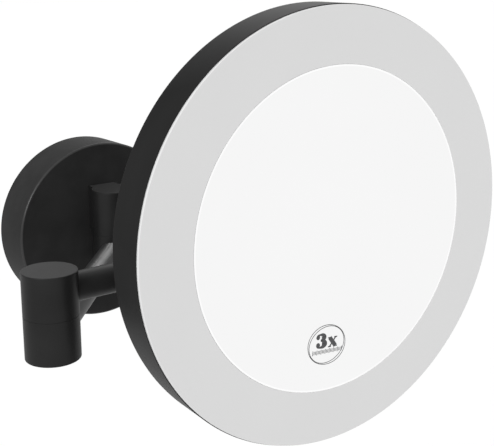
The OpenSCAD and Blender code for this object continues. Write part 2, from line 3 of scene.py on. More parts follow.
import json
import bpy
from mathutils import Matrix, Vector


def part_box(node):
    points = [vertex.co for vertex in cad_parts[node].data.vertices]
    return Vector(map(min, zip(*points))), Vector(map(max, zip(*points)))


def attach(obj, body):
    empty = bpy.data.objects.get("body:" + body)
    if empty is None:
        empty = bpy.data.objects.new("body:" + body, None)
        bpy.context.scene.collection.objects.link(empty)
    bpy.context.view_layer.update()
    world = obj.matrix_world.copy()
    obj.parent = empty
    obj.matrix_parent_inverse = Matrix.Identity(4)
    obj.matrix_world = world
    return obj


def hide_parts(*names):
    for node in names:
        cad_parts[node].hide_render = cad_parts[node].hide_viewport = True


bl_info = {
    "name": "Lit Shaving Mirror",
    "version": (1, 0, 0),
    "blender": (4, 5, 0),
    "location": "3D Viewport > Sidebar > Mirror",
    "description": "Builds the wall plate, folding arm and lit mirror head, with their finishes and studio",
    "category": "Add Mesh",
}

from math import atan2, cos, pi, radians, sin, sqrt, tan

import bmesh
import bpy
from bpy.props import FloatProperty, FloatVectorProperty, IntProperty, PointerProperty
from bpy.types import Operator, Panel, PropertyGroup
from mathutils import Matrix, Vector

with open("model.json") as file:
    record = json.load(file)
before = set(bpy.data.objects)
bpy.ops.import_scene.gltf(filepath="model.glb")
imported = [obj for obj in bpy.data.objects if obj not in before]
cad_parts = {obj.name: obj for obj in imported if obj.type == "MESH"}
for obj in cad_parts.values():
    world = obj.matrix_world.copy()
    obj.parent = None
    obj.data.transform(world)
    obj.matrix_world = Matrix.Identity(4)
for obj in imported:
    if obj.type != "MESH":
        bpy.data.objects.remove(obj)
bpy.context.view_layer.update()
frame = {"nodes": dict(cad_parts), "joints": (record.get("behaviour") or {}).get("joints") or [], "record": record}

MM = 0.001
UP = Vector((0, 0, 1))
OUT = Vector((0, -1, 0))
WHITE = (1, 1, 1, 1)
ON_AXIS = 1e-7  # a lathe point nearer to the axis than this is on it, in metres
WELD = 1e-6  # points of a CAD node nearer than this are one, in metres
FLAT_TO = radians(0.6)  # faces of a CAD node that meet flatter than this are one
SMOOTH_TO = radians(32)  # edges steeper than this are shaded sharp
EDGE_FROM = radians(34)  # edges steeper than this are rounded

# Steps round each kind of turned piece
HEAD_TURNS, PLATE_TURNS, BARREL_TURNS, BASE_TURNS, TUBE_TURNS = 320, 240, 160, 128, 96
SCREW_TURNS, HOLE_TURNS = 48, 32
NODES = frame["nodes"]
JOINTS = {joint["name"]: joint for joint in frame["joints"]}


# ---- places and sizes taken from the frame ----
def joint_point(name):
    return Vector(JOINTS[name]["pos_m"])


def extent(node, origin, direction):
    """Lowest and highest reach of a CAD node along a direction from a point."""
    reach = [(v.co - origin).dot(direction) for v in NODES[node].data.vertices]
    return min(reach), max(reach)


def half_size(node, axis):
    """Half of a CAD node's size along an axis, from 0 for x to 2 for z."""
    low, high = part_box(node)
    return (high[axis] - low[axis]) / 2


def place(origin, x_axis, z_axis):
    """A matrix at a point whose z axis points one way and whose x axis leans another."""
    z = z_axis.normalized()
    y = z.cross(x_axis).normalized()
    x = y.cross(z)
    return Matrix.Translation(origin) @ Matrix((x, y, z)).transposed().to_4x4()


WALL_AXIS = joint_point("wall_hinge")
ELBOW_AXIS = joint_point("elbow_hinge")
HEAD_AXIS = joint_point("head_swivel")
TILT_AXIS = joint_point("head_tilt")
RIGHT = Vector(JOINTS["head_tilt"]["axis"]).normalized()
FORWARD = RIGHT.cross(UP)

LOW_SEAM = (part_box("inner_arm_elbow_knuckle")[1].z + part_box("outer_arm_elbow_knuckle")[0].z) / 2
HIGH_SEAM = (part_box("outer_arm_head_knuckle")[1].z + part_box("swivel_block")[0].z) / 2
HALF_HEIGHT = LOW_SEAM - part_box("inner_arm_elbow_knuckle")[0].z
BARREL_R = half_size("outer_arm_elbow_knuckle", 0)
TUBE_R = half_size("outer_arm_tube", 2)
PLATE_R = half_size("wall_cover", 0)
PLATE_DEPTH = -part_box("wall_cover")[0].y
PLATE_LIFT = -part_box("wall_cover")[1].y
WALL_TOP = max(v.co.z for v in NODES["hinge_block"].data.vertices if v.co.y < -PLATE_DEPTH)
TILT_REACH = extent("rear_casing", TILT_AXIS, FORWARD)[0]
HEAD_BACK = TILT_AXIS + FORWARD * TILT_REACH
HEAD_R = extent("rear_casing", HEAD_BACK, RIGHT)[1]
HEAD_DEPTH = extent("front_ring", HEAD_BACK, FORWARD)[1]
CASING_RIM = extent("rear_casing", HEAD_BACK, FORWARD)[1]
MIRROR_R = extent("mirror_glass", HEAD_BACK, RIGHT)[1]
HEAD = place(HEAD_BACK, RIGHT, FORWARD)
WALL = place(Vector((0, 0, 0)), Vector((1, 0, 0)), OUT)


# ---- sizes and colours a user would change ----
def length(name, default, description):
    return FloatProperty(
        name=name, description=description, default=default, min=0.0, precision=5,
        subtype="DISTANCE", unit="LENGTH")


def mm(name, default, description):
    return length(name, default * MM, description)


def angle(name, default, description):
    return FloatProperty(
        name=name, description=description, default=radians(default), subtype="ANGLE", unit="ROTATION")


def share(name, default, description, top=1.0):
    return FloatProperty(
        name=name, description=description, default=default, min=0.0, max=top, precision=3,
        subtype="FACTOR")


def colour(name, default, description):
    return FloatVectorProperty(
        name=name, description=description, default=default, size=3, min=0.0, max=1.0,
        subtype="COLOR")


def vector(name, default, description, subtype):
    return FloatVectorProperty(
        name=name, description=description, default=default, size=len(default), precision=5,
        subtype=subtype)


class PlateSizes(PropertyGroup):
    edge_round: mm("Edge round", 1.2, "Radius of the wall cover's front edge")
    rim_round: mm("Rim round", 0.4, "Radius of the wall cover's edges at the wall")
    inner_round: mm("Inner round", 0.8, "Radius of the wall cover's inside corner")
    wall: mm("Wall", 2.2, "Wall thickness of the wall cover")
    face: mm("Face", 2.6, "Thickness of the wall cover's face")
    neck_width: mm("Neck width", 16, "Width of the neck that carries the wall hinge")
    neck_gap: mm("Neck gap", 0.08, "Clearance between the neck and the cover")
    neck_round: mm("Neck round", 0.15, "Radius of the neck's edges")
    foot_radius: mm("Foot radius", 19, "Radius of the foot behind the neck")
    foot_base: mm("Foot base", 2.5, "Distance of the foot's back from the wall")
    foot_top: mm("Foot top", 5.5, "Distance of the foot's front from the wall")
    foot_round: mm("Foot round", 0.5, "Radius of the foot's front edge")
    grub_radius: mm("Grub radius", 1.55, "Radius of the cover's grub-screw holes")


class ArmSizes(PropertyGroup):
    edge_round: mm("Edge round", 0.5, "Radius of a barrel's outer edges")
    seam: mm("Seam", 0.07, "Gap between the two halves of a barrel")
    seam_round: mm("Seam round", 0.06, "Radius of a barrel's edges at the seam")
    pocket_radius: mm("Pocket radius", 8.2, "Radius of the pocket under a barrel")
    pocket_depth: mm("Pocket depth", 6, "Depth of the pocket under a barrel")
    bush_radius: mm("Bush radius", 7.01, "Radius of the bore that takes the bush")
    flange_radius: mm("Flange radius", 9.55, "Radius of the recess for the bush flange")
    flange_depth: mm("Flange depth", 1.4, "Depth of the recess for the bush flange")
    tube_wall: mm("Tube wall", 1.5, "Wall thickness of the arm tubes")
    tube_round: mm("Tube round", 0.3, "Radius of the edges at the tubes' ends")
    tongue_width: mm("Tongue width", 10, "Width of the tongue on the swivel")
    ear_radius: mm("Ear radius", 7, "Outer radius of the tongue and the ears")
    ear_thickness: mm("Ear thickness", 5, "Thickness of one ear")
    ear_gap: mm("Ear gap", 0.3, "Clearance between the tongue and an ear")
    ear_round: mm("Ear round", 0.6, "Radius of the edges of the tongue and ears")
    base_radius: mm("Base radius", 24, "Radius of the tilt bracket's base")
    base_thickness: mm("Base thickness", 3, "Thickness of the tilt bracket's base")
    base_round: mm("Base round", 0.9, "Radius of the base's edge")


class HeadSizes(PropertyGroup):
    back_round: mm("Back round", 0.5, "Radius of the casing's back edge")
    rim_height: mm("Rim height", 0.95, "How far the casing's rim stands up round the light ring")
    rim_round: mm("Rim round", 0.2, "Radius of the casing's front edge")
    inner_round: mm("Inner round", 0.8, "Radius of the casing's inside corner")
    casing_wall: mm("Casing wall", 2.4, "Wall thickness of the casing")
    ring_inset: mm("Ring inset", 0.4, "How far the light ring's rim sits inside the casing's")
    ring_round: mm("Ring round", 0.35, "Radius of the light ring's outer front edge")
    ring_inner_round: mm("Ring inner round", 0.15, "Radius of the ring's edge at the glass")
    ring_back_round: mm("Ring back round", 0.1, "Radius of the ring's outer back edge")
    ring_step: mm("Ring step", 1.5, "Depth of the light ring's hidden step")
    ring_gap: mm("Ring gap", 0.2, "Clearance between the ring's step and the casing")
    joint_line: mm("Joint line", 0.2, "Width of the groove between casing and light ring")
    lip: mm("Lip", 0.05, "Gap between the light ring's lip and the glass")
    glass_thickness: mm("Glass thickness", 3, "Thickness of the mirror glass")
    glass_round: mm("Glass round", 0.25, "Ground edge at the back of the mirror glass")
    glass_bevel: mm("Glass bevel", 0.8, "Width of the polished bevel round the mirror's face")
    bevel_depth: mm("Bevel depth", 0.06, "Depth of the polished bevel")
    glass_curve: mm("Glass curve", 700, "Radius of the mirror's hollow face")


class MarkSizes(PropertyGroup):
    width: mm("Width", 22, "Width of the oval magnification mark")
    height: mm("Height", 18.6, "Height of the oval magnification mark")
    drop: mm("Drop", 53.1, "Distance of the mark from the mirror's middle")
    turn: angle("Turn", 3.7, "Turn of the mark about the mirror's middle")
    line: mm("Line", 0.3, "Width of the oval's fine lines")
    split: mm("Split", 0.9, "How far the oval's two lines part")
    slant: angle("Slant", 135, "Way in which the oval's two lines part")
    ticks: IntProperty(
        name="Ticks", description="Number of ticks in the row", default=22, min=2, subtype="UNSIGNED")
    tall_every: IntProperty(
        name="Tall every", description="Every tick of this number is a tall one", default=3, min=1,
        subtype="UNSIGNED")
    row_length: mm("Row length", 16.8, "Length of the row of ticks")
    row_shift: mm("Row shift", 0.4, "How far the row lies to the right of the middle")
    row_drop: mm("Row drop", 3.1, "How far the row lies below the middle")
    tick_half: mm("Tick half", 0.8, "Half the height of a tick")
    tall_half: mm("Tall half", 1.1, "Half the height of a tall tick")
    tick_lean: mm("Tick lean", 0.12, "How far a tick's top lies to the right of its middle")
    tick_width: mm("Tick width", 0.34, "Width of a tick")
    ink: mm("Ink", 0.03, "Thickness of the printed ink")


class Finishes(PropertyGroup):
    cover: colour("Wall cover", (0.027, 0.027, 0.027), "Powder coat of the wall cover")
    hinge: colour("Hinges", (0.0125, 0.0125, 0.0125), "Powder coat of the hinges and bracket")
    arm: colour("Arm tubes", (0.0215, 0.0215, 0.0215), "Powder coat of the arm tubes")
    casing: colour("Casing", (0.024, 0.024, 0.024), "Moulded rear casing")
    light_ring: colour("Light ring", (0.745, 0.745, 0.745), "Frosted light ring")
    # Lighter colour on the light ring's edge faces: a painted highlight, not a different material
    light_ring_painted_highlight: colour("Light ring edge", (0.78, 0.78, 0.78), "Outer edge of the frosted light ring")
    mirror: colour("Mirror", (0.913, 0.913, 0.913), "Silvered glass")
    mirror_bevel: colour("Mirror bevel", (0.98, 0.98, 0.98), "Bevel round the silvered glass")
    ink: colour("Ink", (0.075, 0.075, 0.078), "Printed mark")
    steel: colour("Steel", (0.58, 0.58, 0.57), "Zinc-plated steel")
    screw: colour("Screws", (0.045, 0.045, 0.047), "Blackened steel")
    nylon: colour("Nylon", (0.80, 0.78, 0.70), "Moulded nylon")
    black_plastic: colour("Black plastic", (0.012, 0.012, 0.012), "Moulded hinge plugs")
    white_plastic: colour("White plastic", (0.80, 0.80, 0.79), "Moulded driver and light tray")
    grey_plastic: colour("Grey plastic", (0.30, 0.30, 0.31), "Moulded mirror tray")
    lead: colour("Lead", (0.015, 0.015, 0.015), "Jacket of the lead")
    board: colour("Board", (0.75, 0.78, 0.75), "Lamp board")
    lamp: colour("Lamps", (0.85, 0.70, 0.28), "Lamps on the board")
    foam: colour("Foam", (0.05, 0.05, 0.05), "Pad behind the mirror")


class StudioLook(PropertyGroup):
    fill: share("Fill", 0.73, "Level of the room light on the object", 4.0)
    key: share("Key", 1.3, "Strength of the soft light from the left", 10.0)
    key_way: vector("Key way", (0.81, 0.42, -0.41), "Way that it shines", "DIRECTION")
    key_spread: angle("Key spread", 24, "Softness of its shadows")
    back: share("Back", 0.4, "Strength of the soft light from above and behind", 10.0)
    back_way: vector("Back way", (-0.45, -0.6, -0.66), "Way that it shines", "DIRECTION")
    back_spread: angle("Back spread", 40, "Softness of its shadows")
    glint: share("Glint", 1.9, "Strength of the low light on the inner arm tube", 10.0)
    hinge_glint: share("Hinge glint", 0.45, "Strength of the low light on the wall hinge", 10.0)
    glint_way: vector("Glint way", (-0.605, -0.708, -0.362), "Way that both shine", "DIRECTION")
    glint_spread: angle("Glint spread", 20, "Softness of both")
    floor_drop: length("Floor drop", 1.2, "Depth of the floor below the wall plate's middle")
    floor_paint: share("Floor paint", 0.75, "Share of the light that the floor sends back")
    floor_side: length("Floor side", 60.0, "Side of the floor")
    floor_white: share("Floor white", 1.01, "Level of the floor where it is looked at", 2.0)
    camera_place: vector(
        "Camera place", (-0.25626, -0.49387, 0.14691), "Where the camera stands", "TRANSLATION")
    camera_turn: vector(
        "Camera turn", (radians(76.558), 0, radians(-37.621)), "Which way it looks", "EULER")
    camera_shift: vector("Camera shift", (-0.0043, -0.060), "How far its picture is shifted", "XYZ")
    lens: FloatProperty(
        name="Lens", description="Focal length of the camera in millimetres", default=70.62,
        subtype="DISTANCE_CAMERA")


# ---- finishes ----
class Tree:
    """A node tree under construction."""

    def __init__(self, owner):
        owner.use_nodes = True
        self.tree = owner.node_tree
        self.tree.nodes.clear()

    def add(self, kind, inputs=None, **settings):
        """A new node, with each input set to a value or joined to another node's output."""
        node = self.tree.nodes.new(kind)
        for key, value in settings.items():
            setattr(node, key, value)
        for key, value in (inputs or {}).items():
            if isinstance(value, bpy.types.NodeSocket):
                self.tree.links.new(value, node.inputs[key])
            else:
                node.inputs[key].default_value = value
        return node

    def looked_at(self):
        """One for rays from the camera, from gloss and through glass, zero for the rest."""
        rays = self.add("ShaderNodeLightPath").outputs
        total = rays["Is Camera Ray"]
        for kind in ("Is Glossy Ray", "Is Transmission Ray"):
            total = self.add("ShaderNodeMath", {0: total, 1: rays[kind]}, operation="MAXIMUM").outputs[0]
        return total


class Recipe(Tree):
    """A material under construction: its nodes, with one Principled shader at the end."""

    def __init__(self, name, roughness, metallic=0.0, specular=0.5):
        self.material = bpy.data.materials.new(name)
        super().__init__(self.material)
        self.shader = self.add("ShaderNodeBsdfPrincipled", {
            "Roughness": roughness, "Metallic": metallic, "Specular IOR Level": specular})
        self.add("ShaderNodeOutputMaterial", {"Surface": self.shader.outputs["BSDF"]})
        self.coordinates = self.add("ShaderNodeTexCoord").outputs["Object"]

    def noise(self, grain, detail=2.0, stretch=(1, 1, 1)):
        """Noise whose blobs are about one grain across, in metres."""
        mapping = self.add("ShaderNodeMapping", {"Vector": self.coordinates, "Scale": stretch})
        return self.add("ShaderNodeTexNoise", {
            "Vector": mapping.outputs["Vector"], "Scale": 1.0 / grain, "Detail": detail}).outputs["Fac"]

    def feed(self, socket, source):
        """Joins a node's output to one of the shader's sockets."""
        self.tree.links.new(source, self.shader.inputs[socket])

    def shades(self, pattern, base, dark, light, low=0.35, high=0.65):
        """Colour that wanders between two shades, each given as a factor on the base."""
        ramp = self.add("ShaderNodeValToRGB", {"Fac": pattern})
        for element, position, factor in zip(ramp.color_ramp.elements, (low, high), (dark, light)):
            element.position = position
            element.color = (*[min(1.0, channel * factor) for channel in base], 1)
        self.feed("Base Color", ramp.outputs["Color"])

    def wander(self, pattern, socket, low, high, start=0.0):
        """A socket that goes from low to high as the pattern goes from start to one."""
        spread = self.add("ShaderNodeMapRange", {
            "Value": pattern, "From Min": start, "To Min": low, "To Max": high})
        self.feed(socket, spread.outputs["Result"])

    def gloss(self, facing, grazing, start=0.0):
        """Gloss that goes from one level seen face on to another seen along the surface."""
        self.shader.inputs["Specular IOR Level"].default_value = facing
        slope = self.add("ShaderNodeLayerWeight").outputs["Facing"]
        self.wander(slope, "Specular IOR Level", facing, grazing, start)

    def bumps(self, *layers):
        """Stacks bumps, each a pattern and its height in metres."""
        normal = None
        for pattern, height in layers:
            bump = self.add("ShaderNodeBump", {"Height": pattern, "Distance": height})
            if normal:
                self.tree.links.new(normal, bump.inputs["Normal"])
            normal = bump.outputs["Normal"]
        self.feed("Normal", normal)


def powder_coat(name, base, roughness, facing, grazing):
    """Satin powder coat: fine orange peel, finer grain and slightly uneven gloss."""
    recipe = Recipe(name, roughness)
    recipe.gloss(facing, grazing)
    patches = recipe.noise(18 * MM, 3.0)
    peel = recipe.noise(1.1 * MM, 2.0)
    grain = recipe.noise(0.3 * MM, 1.0)
    recipe.shades(patches, base, 0.88, 1.14)
    recipe.wander(patches, "Roughness", roughness - 0.04, roughness + 0.05)
    recipe.bumps((peel, 0.012 * MM), (grain, 0.006 * MM))
    return recipe.material


def moulded(name, base, roughness, specular, bump=0.008 * MM, spread=0.06, grazing=None, start=0.0):
    """Moulded plastic: a spark-eroded grain and faint flow marks, perhaps with grazing gloss."""
    recipe = Recipe(name, roughness, specular=specular)
    if grazing:
        recipe.gloss(specular, grazing, start)
    flow = recipe.noise(30 * MM, 4.0, stretch=(1, 1, 0.4))
    grain = recipe.noise(0.45 * MM, 2.0)
    recipe.shades(flow, base, 1 - spread, 1 + spread)
    recipe.wander(flow, "Roughness", roughness - 0.03, roughness + 0.04)
    recipe.bumps((grain, bump))
    return recipe.material


def frosted(name, base, roughness):
    """Frosted acrylic: an even milky face with a very fine matt grain."""
    recipe = Recipe(name, roughness, specular=0.25)
    cloud = recipe.noise(45 * MM, 2.0)
    grain = recipe.noise(0.25 * MM, 1.0)
    recipe.shades(cloud, base, 0.994, 1.006)
    recipe.wander(cloud, "Roughness", roughness - 0.02, roughness + 0.03)
    recipe.bumps((grain, 0.002 * MM))
    return recipe.material


def silvered(name, base):
    """Silvered glass: a clean reflection whose silver is very slightly uneven."""
    recipe = Recipe(name, 0.0, metallic=1.0)
    cloud = recipe.noise(60 * MM, 3.0)
    recipe.shades(cloud, base, 0.997, 1.003)
    return recipe.material


def plated(name, base, roughness):
    """Plated steel: fine drawn lines, patchy brightness and a little tarnish."""
    recipe = Recipe(name, roughness, metallic=1.0)
    patches = recipe.noise(4 * MM, 4.0)
    lines = recipe.noise(0.35 * MM, 2.0, stretch=(1, 1, 0.08))
    recipe.shades(patches, base, 0.82, 1.1, low=0.3, high=0.7)
    recipe.wander(lines, "Roughness", roughness - 0.08, roughness + 0.14)
    recipe.bumps((lines, 0.003 * MM))
    return recipe.material


def soft_skin(name, base, roughness):
    """Rubber, foam or cable jacket: matt, with a coarse skin."""
    recipe = Recipe(name, roughness, specular=0.25)
    patches = recipe.noise(6 * MM, 3.0)
    skin = recipe.noise(0.5 * MM, 3.0)
    recipe.shades(patches, base, 0.85, 1.2)
    recipe.bumps((skin, 0.02 * MM))
    return recipe.material


def printed(name, base):
    """Screen-printed ink: nearly even, with fine pinholes of lighter tone."""
    recipe = Recipe(name, 0.45, specular=0.3)
    speckle = recipe.noise(0.4 * MM, 2.0)
    recipe.shades(speckle, base, 0.9, 1.35, low=0.45, high=0.75)
    recipe.bumps((speckle, 0.002 * MM))
    return recipe.material


def finish(slot):
    """The material of one slot, or of a piece's edge (on the light ring a painted highlight), made the first time
    it is asked for.
    """
    name = f"{slot}_finish"
    made = bpy.data.materials.get(name)
    if made:
        return made
    look = bpy.context.scene.mirror_finishes
    recipes = {
        "wall_cover": lambda: powder_coat(name, look.cover, 0.3, facing=0.03, grazing=0.0),
        "wall_cover_edge": lambda: powder_coat(name, look.cover, 0.3, facing=0.35, grazing=0.1),
        "hinge_metal": lambda: powder_coat(name, look.hinge, 0.4, facing=0.18, grazing=0.02),
        "arm_metal": lambda: powder_coat(name, look.arm, 0.4, facing=0.16, grazing=0.06),
        "casing": lambda: moulded(name, look.casing, 0.5, 0.0, grazing=0.13, start=0.55),
        "steel": lambda: plated(name, look.steel, 0.28),
        "black_screw": lambda: plated(name, look.screw, 0.4),
        "nylon": lambda: moulded(name, look.nylon, 0.45, 0.4),
        "black_plastic": lambda: moulded(name, look.black_plastic, 0.5, 0.3, bump=0.02 * MM),
        "white_plastic": lambda: moulded(
            name, look.white_plastic, 0.4, 0.4, bump=0.01 * MM, spread=0.02),
        "grey_plastic": lambda: moulded(name, look.grey_plastic, 0.45, 0.4),
        "lead": lambda: soft_skin(name, look.lead, 0.5),
        "board": lambda: moulded(name, look.board, 0.35, 0.5, bump=0.004 * MM, spread=0.03),
        "lamp": lambda: moulded(name, look.lamp, 0.3, 0.5, bump=0.004 * MM),
        "frosted": lambda: frosted(name, look.light_ring, 0.5),
        # Painted highlight: a lighter, glossier copy of the frosted ring for its edge faces
        "frosted_painted_highlight": lambda: frosted(name, look.light_ring_painted_highlight, 0.4),
        "mirror": lambda: silvered(name, look.mirror),
        "mirror_bevel": lambda: silvered(name, look.mirror_bevel),
        "foam": lambda: soft_skin(name, look.foam, 0.8),
        "mark_ink": lambda: printed(name, look.ink),
    }
    return recipes[slot]()


# ---- making meshes ----
def rounded(points, radii, steps=5, closed=False):
    """The outline with each corner turned into an arc of its own radius."""
    most = 0.48  # share of a side that one arc may take up
    made = []
    count = len(points)
    for i, (point, radius) in enumerate(zip(points, radii)):
        here = Vector(point)
        if radius <= 0 or (not closed and i in (0, count - 1)):
            made.append(here)
            continue
        back = Vector(points[i - 1]) - here
        ahead = Vector(points[(i + 1) % count]) - here
        corner = back.angle(ahead)
        reach = min(radius / tan(corner / 2), most * back.length, most * ahead.length)
        radius = reach * tan(corner / 2)
        middle = (back.normalized() + ahead.normalized()).normalized()
        centre = here + middle * radius / sin(corner / 2)
        start = here + back.normalized() * reach - centre
        end = here + ahead.normalized() * reach - centre
        sweep = atan2(start.x * end.y - start.y * end.x, start.dot(end))
        for step in range(steps + 1):
            turn = sweep * step / steps
            made.append(centre + Vector((
                start.x * cos(turn) - start.y * sin(turn), start.x * sin(turn) + start.y * cos(turn))))
    return made


def lathe(outline, spot, turns=BARREL_TURNS, closed=False):
    """Turns an outline of (radius, height) points about the spot's z axis."""
    shell = bmesh.new()
    rings = []
    for radius, height in outline:
        if radius < ON_AXIS:
            rings.append([shell.verts.new(spot @ Vector((0, 0, height)))])
            continue
        rings.append([shell.verts.new(spot @ Vector((
            radius * cos(2 * pi * i / turns), radius * sin(2 * pi * i / turns), height)))
            for i in range(turns)])
    pairs = list(zip(rings, rings[1:])) + ([(rings[-1], rings[0])] if closed else [])
    for low, high in pairs:
        for i in range(turns):
            j = (i + 1) % turns
            corners = [low[i % len(low)], low[j % len(low)], high[j % len(high)], high[i % len(high)]]
            face = list(dict.fromkeys(corners))
            if len(face) > 2:
                shell.faces.new(face)
    return shell


def round_off(shell, edge_round, segments):
    """Rounds the steep edges of a shell."""
    steep = [e for e in shell.edges if e.is_manifold and e.calc_face_angle(0) > EDGE_FROM]
    bmesh.ops.bevel(
        shell, geom=steep, offset=edge_round, segments=segments, profile=0.5, affect="EDGES",
        clamp_overlap=True)


def slab(outline, low, high, spot, edge_round=0.0):
    """A flat outline in the spot's xy plane, given thickness along z and rounded edges."""
    shell = bmesh.new()
    under = [shell.verts.new(spot @ Vector((x, y, low))) for x, y in outline]
    over = [shell.verts.new(spot @ Vector((x, y, high))) for x, y in outline]
    shell.faces.new(under[::-1])
    shell.faces.new(over)
    for i in range(len(outline)):
        j = (i + 1) % len(outline)
        shell.faces.new((under[i], under[j], over[j], over[i]))
    if edge_round:
        bmesh.ops.recalc_face_normals(shell, faces=shell.faces)
        round_off(shell, edge_round, 3)
    return shell


def stadium(reach, radius, steps=16):
    """An outline that runs from x = 0 to x = reach and ends there in a half circle."""
    turns = [pi * i / steps - pi / 2 for i in range(steps + 1)]
    nose = [(reach + radius * cos(turn), radius * sin(turn)) for turn in turns]
    return [(0, -radius), *nose, (0, radius)]


def to_object(name, shell):
    """A shell made into a piece of the scene."""
    bmesh.ops.recalc_face_normals(shell, faces=shell.faces)
    mesh = bpy.data.meshes.new(name)
    shell.to_mesh(mesh)
    shell.free()
    piece = bpy.data.objects.new(name, mesh)
    bpy.context.scene.collection.objects.link(piece)
    return piece


def bake(piece):
    """Turns the piece's modifiers into its mesh."""
    graph = bpy.context.evaluated_depsgraph_get()
    mesh = bpy.data.meshes.new_from_object(piece.evaluated_get(graph))
    old = piece.data
    piece.modifiers.clear()
    piece.data = mesh
    bpy.data.meshes.remove(old)


def combine(piece, shell, operation):
    """Adds a shell to a piece, or cuts it out, and forgets the shell."""
    tool = to_object("tool", shell)
    modifier = piece.modifiers.new(operation, "BOOLEAN")
    modifier.operation = operation
    modifier.solver = "EXACT"
    modifier.object = tool
    bake(piece)
    mesh = tool.data
    bpy.data.objects.remove(tool)
    bpy.data.meshes.remove(mesh)


def dress(piece, body, slot, *nodes):
    """Smooths the piece, gives it its finish and lets it ride in place of its CAD nodes."""
    piece.data.polygons.foreach_set("use_smooth", [True] * len(piece.data.polygons))
    piece.data.set_sharp_from_angle(angle=SMOOTH_TO)
    modifier = piece.modifiers.new("Even normals", "WEIGHTED_NORMAL")
    modifier.keep_sharp = True
    bake(piece)
    if not piece.data.materials:
        piece.data.materials.append(finish(slot))
    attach(piece, body)
    if nodes:
        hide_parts(*nodes)
    return piece


def cad_shell(node):
    """A shell with the faces of a CAD node."""
    shell = bmesh.new()
    shell.from_mesh(NODES[node].data)
    bmesh.ops.remove_doubles(shell, verts=shell.verts, dist=WELD)
    return shell


def solids(node):
    """The separate solids of a CAD node, in its own order, each as a list of its points."""
    shell = cad_shell(node)
    found, seen = [], set()
    for start in shell.verts:
        if start in seen:
            continue
        seen.add(start)
        heap, group = [start], []
        while heap:
            vertex = heap.pop()
            group.append(vertex.co.copy())
            for edge in vertex.link_edges:
                other = edge.other_vert(vertex)
                if other not in seen:
                    seen.add(other)
                    heap.append(other)
        found.append(group)
    shell.free()
    return found


def softened(name, node, body, slot, edge_round):
    """A copy of a small CAD node with its edges rounded."""
    shell = cad_shell(node)
    bmesh.ops.dissolve_limit(shell, angle_limit=FLAT_TO, verts=shell.verts, edges=shell.edges)
    round_off(shell, edge_round, 2)
    return dress(to_object(name, shell), body, slot, node)


# ---- hinge barrels ----
def lower_barrel(seam):
    """Outline of a hinge's lower half, open below for its nut and above for its bush."""
    size = bpy.context.scene.mirror_arm
    foot, top = seam - HALF_HEIGHT, seam - size.seam / 2
    corners = [
        (BARREL_R, foot), (BARREL_R, top), (size.flange_radius, top),
        (size.flange_radius, top - size.flange_depth), (size.bush_radius, top - size.flange_depth),
        (size.bush_radius, foot + size.pocket_depth), (size.pocket_radius, foot + size.pocket_depth),
        (size.pocket_radius, foot)]
    radii = [size.edge_round, size.seam_round, 0, 0, 0, 0, 0, size.seam_round]
    return rounded(corners, radii, closed=True)


def upper_barrel(seam, top):
    """Outline of a hinge's upper half, closed above."""
    size = bpy.context.scene.mirror_arm
    low = seam + size.seam / 2
    return rounded(
        [(0, low), (BARREL_R, low), (BARREL_R, top), (0, top)],
        [0, size.seam_round, size.edge_round, 0])


def upright(axis):
    """The place of a barrel whose outline gives its heights."""
    return Matrix.Translation((axis.x, axis.y, 0))


# ---- wall plate ----
class MIRROR_OT_wall_cover(Operator):
    """Round cover on the wall, with the slot that the neck comes through"""

    bl_idname = "shaving_mirror.wall_cover"
    bl_label = "Wall Cover"
    sideways, forward = 0.2, 0.98  # how far forward the faces of the front rounding may look

    def execute(self, context):
        size = context.scene.mirror_plate
        inner = PLATE_R - size.wall
        outline = rounded(
            [(0, PLATE_DEPTH), (PLATE_R, PLATE_DEPTH), (PLATE_R, PLATE_LIFT), (inner, PLATE_LIFT),
             (inner, PLATE_DEPTH - size.face), (0, PLATE_DEPTH - size.face)],
            [0, size.edge_round, size.rim_round, size.rim_round, size.inner_round, 0], steps=8)
        cover = to_object("wall_cover_shell", lathe(outline, WALL, PLATE_TURNS))
        half = size.neck_width / 2 + size.neck_gap
        high = WALL_TOP + size.neck_gap
        slot = [(-half, LOW_SEAM), (half, LOW_SEAM), (half, high), (-half, high)]
        combine(
            cover, slab(slot, PLATE_DEPTH - 3 * size.face, PLATE_DEPTH + size.face, WALL),
            "DIFFERENCE")
        for group in solids("cover_screws"):
            middle = sum(group, Vector()) / len(group)
            outward = Vector((middle.x, 0, middle.z)).normalized()
            start = Vector((0, middle.y, 0)) + outward * (PLATE_R - 2 * size.wall)
            depth, radius = 3 * size.wall, size.grub_radius
            bore = lathe(
                [(0, 0), (radius, 0), (radius, depth), (0, depth)], place(start, OUT, outward),
                HOLE_TURNS)
            combine(cover, bore, "DIFFERENCE")
        cover.data.materials.append(finish("wall_cover"))
        cover.data.materials.append(finish("wall_cover_edge"))
        for face in cover.data.polygons:
            on_rounding = face.center.y < size.edge_round - PLATE_DEPTH
            if on_rounding and self.sideways < -face.normal.y < self.forward:
                face.material_index = 1
        dress(cover, "wall_plate", "wall_cover", "wall_cover")
        return {"FINISHED"}


